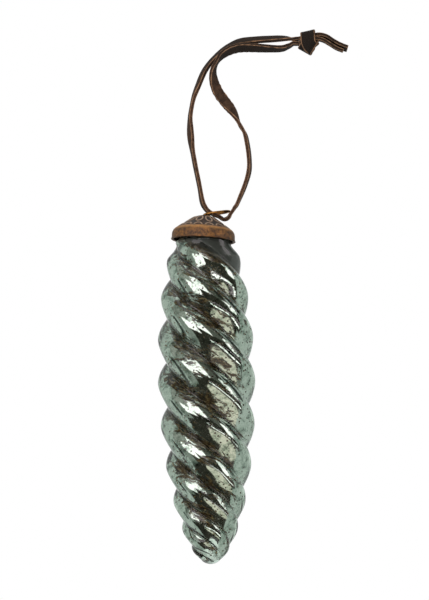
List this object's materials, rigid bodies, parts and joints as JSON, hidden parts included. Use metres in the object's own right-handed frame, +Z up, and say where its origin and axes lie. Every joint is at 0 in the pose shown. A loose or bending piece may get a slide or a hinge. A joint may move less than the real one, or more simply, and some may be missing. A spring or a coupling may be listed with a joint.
{
  "type": "icicle ornament",
  "caption": "Hollow glass icicle with twisted lobes and a silvered inside, under a stamped metal cap with a wire loop and a knotted flat leather lace to hang it by",
  "frame": {"origin": "On the glass's own axis, level with the top of the cap, where the wire loop stands out of the cap.", "axes": "+Z up along the glass's axis, with the tip at -Z. +X to the right as the front is seen, towards the knot. -Y is the front."},
  "size_m": [0.0896, 0.0436, 0.2406],
  "materials": {
    "silvered_glass": "clear pale green glass, silvered on the inside, with aged dark spots and bare patches in the silver",
    "cap_brass": "thin pressed brass, dulled brown, with darker stains and a few orange ones",
    "wire_brass": "drawn brass wire, lightly tarnished",
    "leather": "dark brown flat leather lace with paler raw cut edges"
  },
  "bodies": {
    "root": {"glass_body": "silvered_glass", "cap": "cap_brass", "wire_loop": "wire_brass", "leather_thong": "leather", "leather_knot": "leather"}
  },
  "joints": []
}
